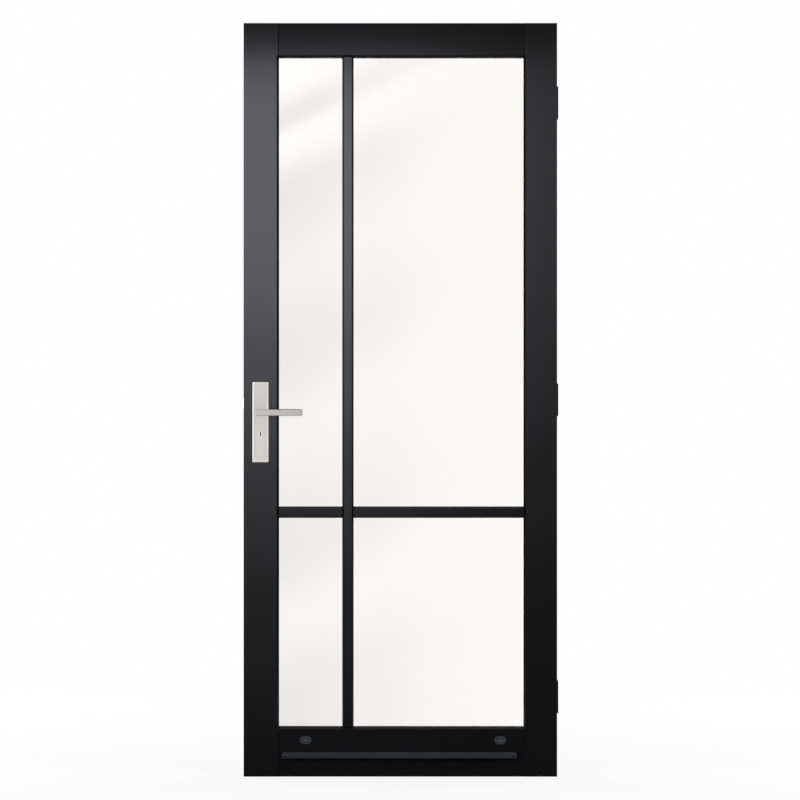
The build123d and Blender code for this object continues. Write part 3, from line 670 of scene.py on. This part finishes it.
# Flaps and spring
def add_flap(shape, node):
    """A tilted wind flap in the mouth of a drain cap, hung from the rim by a tab."""
    low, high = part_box(node)
    middle = (low + high) / 2
    half_width = (high.x - low.x) / 2 - cap_rim - flap_gap
    half_height = (high.z - low.z) / 2 - cap_rim - flap_gap
    half_step = Matrix.Rotation(math.pi / flap_segments, 4, "Z")
    circle = bmesh.ops.create_circle(
        shape, cap_ends=True, radius=half_height, segments=flap_segments, matrix=half_step
    )
    outline = circle["verts"]
    for side in (-1, 1):
        half = [corner for corner in outline if corner.co.x * side > 0]
        bmesh.ops.translate(shape, vec=(side * (half_width - half_height), 0.0, 0.0), verts=half)
    front = outline[0].link_faces[0]
    back = drawn_corners(bmesh.ops.extrude_face_region(shape, geom=[front]))
    bmesh.ops.translate(shape, vec=(0.0, 0.0, -flap_thickness), verts=back)
    corners = outline + back
    faces = {face for corner in corners for face in corner.link_faces}
    top = max(faces, key=lambda face: face.calc_center_median().y)
    tab = drawn_corners(bmesh.ops.extrude_face_region(shape, geom=[top]))
    bmesh.ops.translate(shape, vec=(0.0, flap_gap + flap_bite, 0.0), verts=tab)
    bmesh.ops.delete(shape, geom=[top], context="FACES_ONLY")
    stand = Matrix.Rotation(math.pi / 2 - flap_tilt, 4, "X")
    place = Matrix.Translation((middle.x, low.y + flap_recess, middle.z))
    bmesh.ops.transform(shape, matrix=place @ stand, verts=corners + tab)
    bmesh.ops.bevel(
        shape, geom=list(front.edges), offset=flap_arris, affect="EDGES", segments=flap_arris_segments,
        profile=0.5, material=-1,
    )


def drain_flaps():
    shape = bmesh.new()
    for node in ("drain_cap_left", "drain_cap_right"):
        add_flap(shape, node)
    return make_piece("drain_flaps", shape, "leaf", "dark_plastic")


def latch_coil():
    """The coil on the latch's rod, which gives way as the latch is drawn in."""
    low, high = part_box("latch_spring")
    middle = (low + high) / 2
    start, end = low.x + spring_wire_radius, high.x - spring_wire_radius
    radius = (high.z - low.z) / 2 - spring_wire_radius
    steps = spring_turns * spring_steps_per_turn
    shape = bmesh.new()
    lay = Matrix.Rotation(math.pi / 2, 4, "X")
    place = Matrix.Translation((start, middle.y, middle.z + radius)) @ lay
    bmesh.ops.create_circle(shape, radius=spring_wire_radius, segments=spring_wire_sides, matrix=place)
    bmesh.ops.spin(
        shape, geom=list(shape.verts) + list(shape.edges), cent=(start, middle.y, middle.z),
        axis=(1.0, 0.0, 0.0), dvec=((end - start) / steps, 0.0, 0.0), angle=2 * math.pi * spring_turns,
        steps=steps, use_merge=False,
    )
    close_rims(shape)
    coil = make_piece("latch_coil", shape, "leaf", "lock_steel")
    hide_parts("latch_spring")
    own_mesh(coil)
    return coil


# Stage: floor, room, panels, lamps and camera
def stage_object(name, shape, material):
    """A finished shape as an object with one material, for the floor or a panel, riding on no body of the
    door.
    """
    made = mesh_object(name, shape, material)
    return made


def straight_sight(tree):
    """One where the camera sees a place, straight or through glass, without a reflection on the way."""
    rays = tree.nodes.new("ShaderNodeLightPath").outputs
    bounces = math_node(tree, "ADD", rays["Diffuse Depth"], rays["Glossy Depth"])
    straight = math_node(tree, "LESS_THAN", bounces, straight_bounces)
    seen = math_node(tree, "MAXIMUM", rays["Is Camera Ray"], rays["Is Transmission Ray"])
    return math_node(tree, "MULTIPLY", seen, straight)


def floor_material():
    """Pale floor that shows white to the camera, keeps shadows and fades out towards its rim."""
    material = bpy.data.materials.new("pale_floor")
    tree = new_tree(material)
    place = tree.nodes.new("ShaderNodeTexCoord").outputs["Object"]
    distance = add_node(tree, "ShaderNodeVectorMath", operation="LENGTH")
    wire(tree, place, distance.inputs[0])
    fade_stops = [(0.0, 0.0), (1.0, 1.0)]
    fade = ramp(tree, distance.outputs["Value"], floor_full_radius, floor_radius, fade_stops)
    diffuse = add_node(tree, "ShaderNodeBsdfDiffuse", Color=floor_diffuse).outputs["BSDF"]
    glow = tree.nodes.new("ShaderNodeEmission")
    wire(tree, math_node(tree, "MULTIPLY", straight_sight(tree), floor_glow), glow.inputs["Strength"])
    lit = join_shaders(tree, "ShaderNodeAddShader", diffuse, glow.outputs["Emission"])
    through = tree.nodes.new("ShaderNodeBsdfTransparent").outputs["BSDF"]
    to_surface(tree, join_shaders(tree, "ShaderNodeMixShader", fade, lit, through))
    return material


def make_floor():
    shape = bmesh.new()
    bmesh.ops.create_circle(shape, cap_ends=True, radius=floor_radius, segments=floor_segments)
    floor = stage_object("floor", shape, floor_material())
    floor.visible_glossy = False


def make_room():
    """White for what the camera sees, straight or through the glass, and light from above for the rest."""
    world = bpy.data.worlds.new("room")
    bpy.context.scene.world = world
    tree = new_tree(world)
    split = tree.nodes.new("ShaderNodeSeparateXYZ")
    wire(tree, tree.nodes.new("ShaderNodeTexCoord").outputs["Generated"], split.inputs["Vector"])
    stops = [(0.0, ground_level), (0.48, ground_level), (0.56, horizon_level), (0.95, zenith_level)]
    level = ramp(tree, split.outputs["Z"], -1.0, 1.0, stops)
    glossy_depth = tree.nodes.new("ShaderNodeLightPath").outputs["Glossy Depth"]
    reflected = math_node(tree, "GREATER_THAN", glossy_depth, straight_bounces)
    level = math_node(tree, "MULTIPLY", level, spread(tree, reflected, 1.0, reflected_room_share))
    mix = add_node(tree, "ShaderNodeMix", data_type="FLOAT", B=1.0)
    wire(tree, straight_sight(tree), mix.inputs["Factor"])
    wire(tree, level, mix.inputs["A"])
    background = add_node(tree, "ShaderNodeBackground", Color=white)
    wire(tree, mix.outputs["Result"], background.inputs["Strength"])
    output = tree.nodes.new("ShaderNodeOutputWorld")
    wire(tree, background.outputs["Background"], output.inputs["Surface"])


# Glowing panels
def glowing(material, tree, strength):
    """A glow that other light passes through, seen only in a first reflection."""
    glow = add_node(tree, "ShaderNodeEmission", Color=white)
    depth = tree.nodes.new("ShaderNodeLightPath").outputs["Ray Depth"]
    first = math_node(tree, "LESS_THAN", depth, first_reflection_bounces)
    wire(tree, math_node(tree, "MULTIPLY", strength, first), glow.inputs["Strength"])
    through = tree.nodes.new("ShaderNodeBsdfTransparent").outputs["BSDF"]
    to_surface(tree, join_shaders(tree, "ShaderNodeAddShader", glow.outputs["Emission"], through))
    return material


def panel_material():
    """A softbox that is bright above the lock side and fades to the right and downwards."""
    material = bpy.data.materials.new("graduated_panel")
    tree = new_tree(material)
    place = own_place(tree)
    across_stops = [
        (0.0, 0.0), (0.18, 0.55), (0.30, 1.0), (0.44, 1.0), (0.68, 0.22), (0.85, 0.10), (1.0, 0.0),
    ]
    rise_stops = [
        (0.0, 0.02), (0.16, 0.085), (0.28, 0.235), (0.42, 0.56), (0.52, 0.89), (0.63, 1.0), (0.70, 1.0),
        (0.742, 0.87), (0.763, 0.22), (0.774, 0.0),
    ]
    across = ramp(tree, place["X"], -panel_half_width, panel_half_width, across_stops)
    rise = ramp(tree, place["Z"], panel_foot, panel_top, rise_stops)
    shape = math_node(tree, "MULTIPLY", across, rise)
    return glowing(material, tree, math_node(tree, "MULTIPLY", shape, panel_peak))


def glass_panel_material():
    """A softbox for the panes: soft bands that rise to the right and melt into an even right side."""
    material = bpy.data.materials.new("streaked_panel")
    tree = new_tree(material)
    place = own_place(tree)
    full_share = glass_panel_full_half_width / panel_half_width
    reach = math_node(tree, "ABSOLUTE", place["X"])
    sideways = ramp(tree, reach, 0.0, panel_half_width, [(full_share, 1.0), (1.0, 0.0)])
    upward = ramp(tree, place["Z"], glass_panel_foot, panel_foot, [(0.0, 0.0), (1.0, 1.0)])
    even_stops = [(0.36, 0.0), (0.46, 0.42), (0.56, 0.8), (0.65, 1.0)]
    even = ramp(tree, place["X"], -panel_half_width, panel_half_width, even_stops)
    slant = math_node(tree, "MULTIPLY", place["X"], math.tan(band_angle))
    diagonal = math_node(tree, "SUBTRACT", place["Z"], slant)
    band_stops = [
        (0.10, 0.0), (0.19, 0.58), (0.268, 0.06), (0.40, 0.50), (0.489, 0.05), (0.578, 0.42), (0.667, 0.0),
        (0.722, 1.0), (0.749, 0.1), (0.785, 1.0), (0.95, 0.95),
    ]
    bands = ramp(tree, diagonal, panel_foot, panel_top, band_stops)
    level = add_node(tree, "ShaderNodeMix", data_type="FLOAT", B=even_level_share)
    wire(tree, even, level.inputs["Factor"])
    wire(tree, bands, level.inputs["A"])
    strength = math_node(tree, "MULTIPLY", level.outputs["Result"], glass_panel_peak)
    fade = math_node(tree, "MULTIPLY", sideways, upward)
    return glowing(material, tree, math_node(tree, "MULTIPLY", strength, fade))


def edge_panel_material():
    """A faint softbox beside the leaf that fades towards its sides and its top."""
    material = bpy.data.materials.new("edge_panel")
    tree = new_tree(material)
    place = own_place(tree)
    hump = [(0.0, 0.0), (0.3, 1.0), (0.7, 1.0), (1.0, 0.0)]
    across = ramp(tree, place["Y"], -edge_panel_half_width, edge_panel_half_width, hump)
    rise = ramp(tree, place["Z"], panel_foot, panel_top, [(0.0, 0.3), (0.6, 1.0), (1.0, 0.0)])
    shape = math_node(tree, "MULTIPLY", across, rise)
    return glowing(material, tree, math_node(tree, "MULTIPLY", shape, edge_panel_peak))


def lit_group(name, nodes, pieces=()):
    """The pieces that one light falls on."""
    group = bpy.data.collections.new(name)
    for piece in [frame["nodes"][node] for node in nodes] + list(pieces):
        group.objects.link(piece)
    return group


def make_panel(name, x, y, half_width, foot, material, lit):
    """A glowing panel before a face of the leaf, or beside an edge of it when x isn't zero."""
    shape = bmesh.new()
    size = Matrix.Diagonal((half_width, 1.0, (panel_top - foot) / 2, 1.0))
    stand = Matrix.Rotation(math.pi / 2, 4, "X")
    turn = Matrix.Rotation(math.pi / 2 if x else 0.0, 4, "Z")
    place = Matrix.Translation((x, y, (panel_top + foot) / 2))
    bmesh.ops.create_grid(shape, x_segments=1, y_segments=1, size=1.0, matrix=place @ turn @ size @ stand)
    panel = stage_object(name, shape, material)
    panel.visible_camera = False
    panel.visible_transmission = False
    panel.visible_shadow = False
    panel.light_linking.receiver_collection = lit


def make_face_panels(solid_pieces):
    """Before each face, a panel for the solid pieces and one for the panes."""
    glass_pieces = lit_group("glass_pieces", panes)
    softbox, streaked_box = panel_material(), glass_panel_material()
    for face, way in (("outside", -1), ("inside", 1)):
        y = way * (panel_distance - outside_face)
        make_panel(f"{face}_panel", 0.0, y, panel_half_width, panel_foot, softbox, solid_pieces)
        make_panel(
            f"{face}_glass_panel", 0.0, glass_panel_distance_share * y, panel_half_width, glass_panel_foot,
            streaked_box, glass_pieces,
        )


def make_edge_panels(lock_edge_pieces, hinge_edge_pieces):
    """Beside each edge, a panel for the pieces of that edge alone."""
    edge_box = edge_panel_material()
    for edge, way, lit in (("lock", -1, lock_edge_pieces), ("hinge", 1, hinge_edge_pieces)):
        x = way * edge_panel_distance
        make_panel(f"{edge}_edge_panel", x, 0.0, edge_panel_half_width, panel_foot, edge_box, lit)


# Lamps
def make_lamp(name, place, aim, size, power, lit=None):
    """A square lamp, unseen by the camera, that falls on all pieces or on one group of them."""
    data = bpy.data.lights.new(name, "AREA")
    data.size = size
    data.energy = power
    lamp = bpy.data.objects.new(name, data)
    lamp.location = place
    lamp.rotation_euler = (Vector(aim) - lamp.location).to_track_quat("-Z", "Y").to_euler()
    lamp.visible_camera = False
    lamp.visible_transmission = False
    if lit:
        lamp.light_linking.receiver_collection = lit
    bpy.context.scene.collection.objects.link(lamp)
    return lamp


def lamp_power(size, level):
    """The power at which a square lamp shines with a share of white."""
    return math.pi * size ** 2 * level


def make_front_lamps(middle, ahead, fitting_pieces, plug_pieces):
    """Straight before the plate, a lamp for all fittings and one for the plugs."""
    place = middle + ahead * fitting_lamp_distance
    power = lamp_power(fitting_lamp_size, fitting_lamp_level)
    lamp = make_lamp("fitting_lamp", place, middle, fitting_lamp_size, power, fitting_pieces)
    lamp.data.cycles.use_multiple_importance_sampling = False
    power = lamp_power(fitting_lamp_size, plug_lamp_level)
    make_lamp("plug_lamp", place, middle, fitting_lamp_size, power, plug_pieces)


def make_tent_lamps(middle, ahead, lever_pieces):
    """To the left and right before the plate, lamps that show on the levers in views from the side."""
    aim = middle + ahead * tent_lamp_front
    power = lamp_power(tent_lamp_size, tent_lamp_level)
    for way in (-1, 1):
        place = aim + Vector((way * tent_lamp_distance, 0.0, 0.0))
        make_lamp("tent_lamp", place, aim, tent_lamp_size, power, lever_pieces)


def make_rim_lamps(middle, ahead, plate_pieces):
    """On the four sides of the plate, lamps that catch its rim."""
    aim = middle + ahead * (rim_lamp_size / 2)
    power = lamp_power(rim_lamp_size, rim_lamp_level)
    for way in ((-1, 0, 0), (1, 0, 0), (0, 0, -1), (0, 0, 1)):
        place = aim + Vector(way) * rim_lamp_distance
        make_lamp("rim_lamp", place, aim, rim_lamp_size, power, plate_pieces)


def make_handle_lamps(fitting_pieces):
    """Soft lamps round the handle on both faces of the leaf."""
    plug_pieces = lit_group("plug_pieces", plugs)
    lever_pieces = lit_group("lever_pieces", levers)
    plate_pieces = lit_group("plate_pieces", plates + ["cylinder_body", "latch_bolt"])
    low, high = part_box("outer_plate")
    for face in (-1, 1):
        middle = (low + high) / 2
        middle.y = face * abs(low.y)
        ahead = Vector((0.0, face, 0.0))
        make_front_lamps(middle, ahead, fitting_pieces, plug_pieces)
        make_tent_lamps(middle, ahead, lever_pieces)
        make_rim_lamps(middle, ahead, plate_pieces)


def make_side_lamps():
    """Four broad lamps round the leaf, which show in no reflection."""
    reach_x, reach_y, height = side_lamp_reach
    for side in (-1, 1):
        for face in (-1, 1):
            place = (side * reach_x, face * reach_y, height)
            lamp = make_lamp("side_lamp", place, side_lamp_aim, side_lamp_size, side_lamp_power)
            lamp.visible_glossy = False


def make_camera():
    data = bpy.data.cameras.new("camera")
    data.sensor_width = sensor_width_mm
    data.lens = camera_focal_share * sensor_width_mm
    camera = bpy.data.objects.new("camera", data)
    camera.location = camera_place
    camera.rotation_euler = (math.pi / 2, 0.0, 0.0)
    bpy.context.scene.collection.objects.link(camera)
    bpy.context.scene.camera = camera


def light_door(dark_pieces, dark_screws, bright_screws):
    """Panels and lamps, each linked to the pieces that it is for."""
    edge_fittings = ["faceplate", "latch_bolt", "dead_bolt"]
    fittings = plates + levers + plugs + edge_fittings + ["cylinder_body"]
    others = [node for node in frame["nodes"] if node not in panes + fittings]
    hinge_nodes = [node for node in others if "hinge" in node and "bead" not in node]
    make_face_panels(lit_group("solid_pieces", others, dark_pieces + dark_screws))
    make_edge_panels(
        lit_group("lock_edge_pieces", ["lock_stile"] + edge_fittings, bright_screws),
        lit_group("hinge_edge_pieces", hinge_nodes, dark_screws),
    )
    make_handle_lamps(lit_group("fitting_pieces", fittings, bright_screws))
    make_side_lamps()


dress_nodes()
dark_pieces = [drain_flaps(), latch_coil()]
dark_screws = [
    hinge_screw_piece(),
    end_screws("drip_bar_screws", "leaf", "black_steel", pan_screw, y_axis, -1, pan=True),
]
bright_screws = [
    end_screws("faceplate_screws", "leaf", "stainless", wood_screw, x_axis, -1),
    end_screws("cylinder_screw", "leaf", "lock_steel", machine_screw, x_axis, -1),
    end_screws("plate_bolts", "leaf", "stainless", plate_bolt, y_axis, 1),
    set_screw_piece(),
]
make_camera()
make_floor()
make_room()
light_door(dark_pieces, dark_screws, bright_screws)
bpy.context.scene.view_settings.view_transform = "Standard"
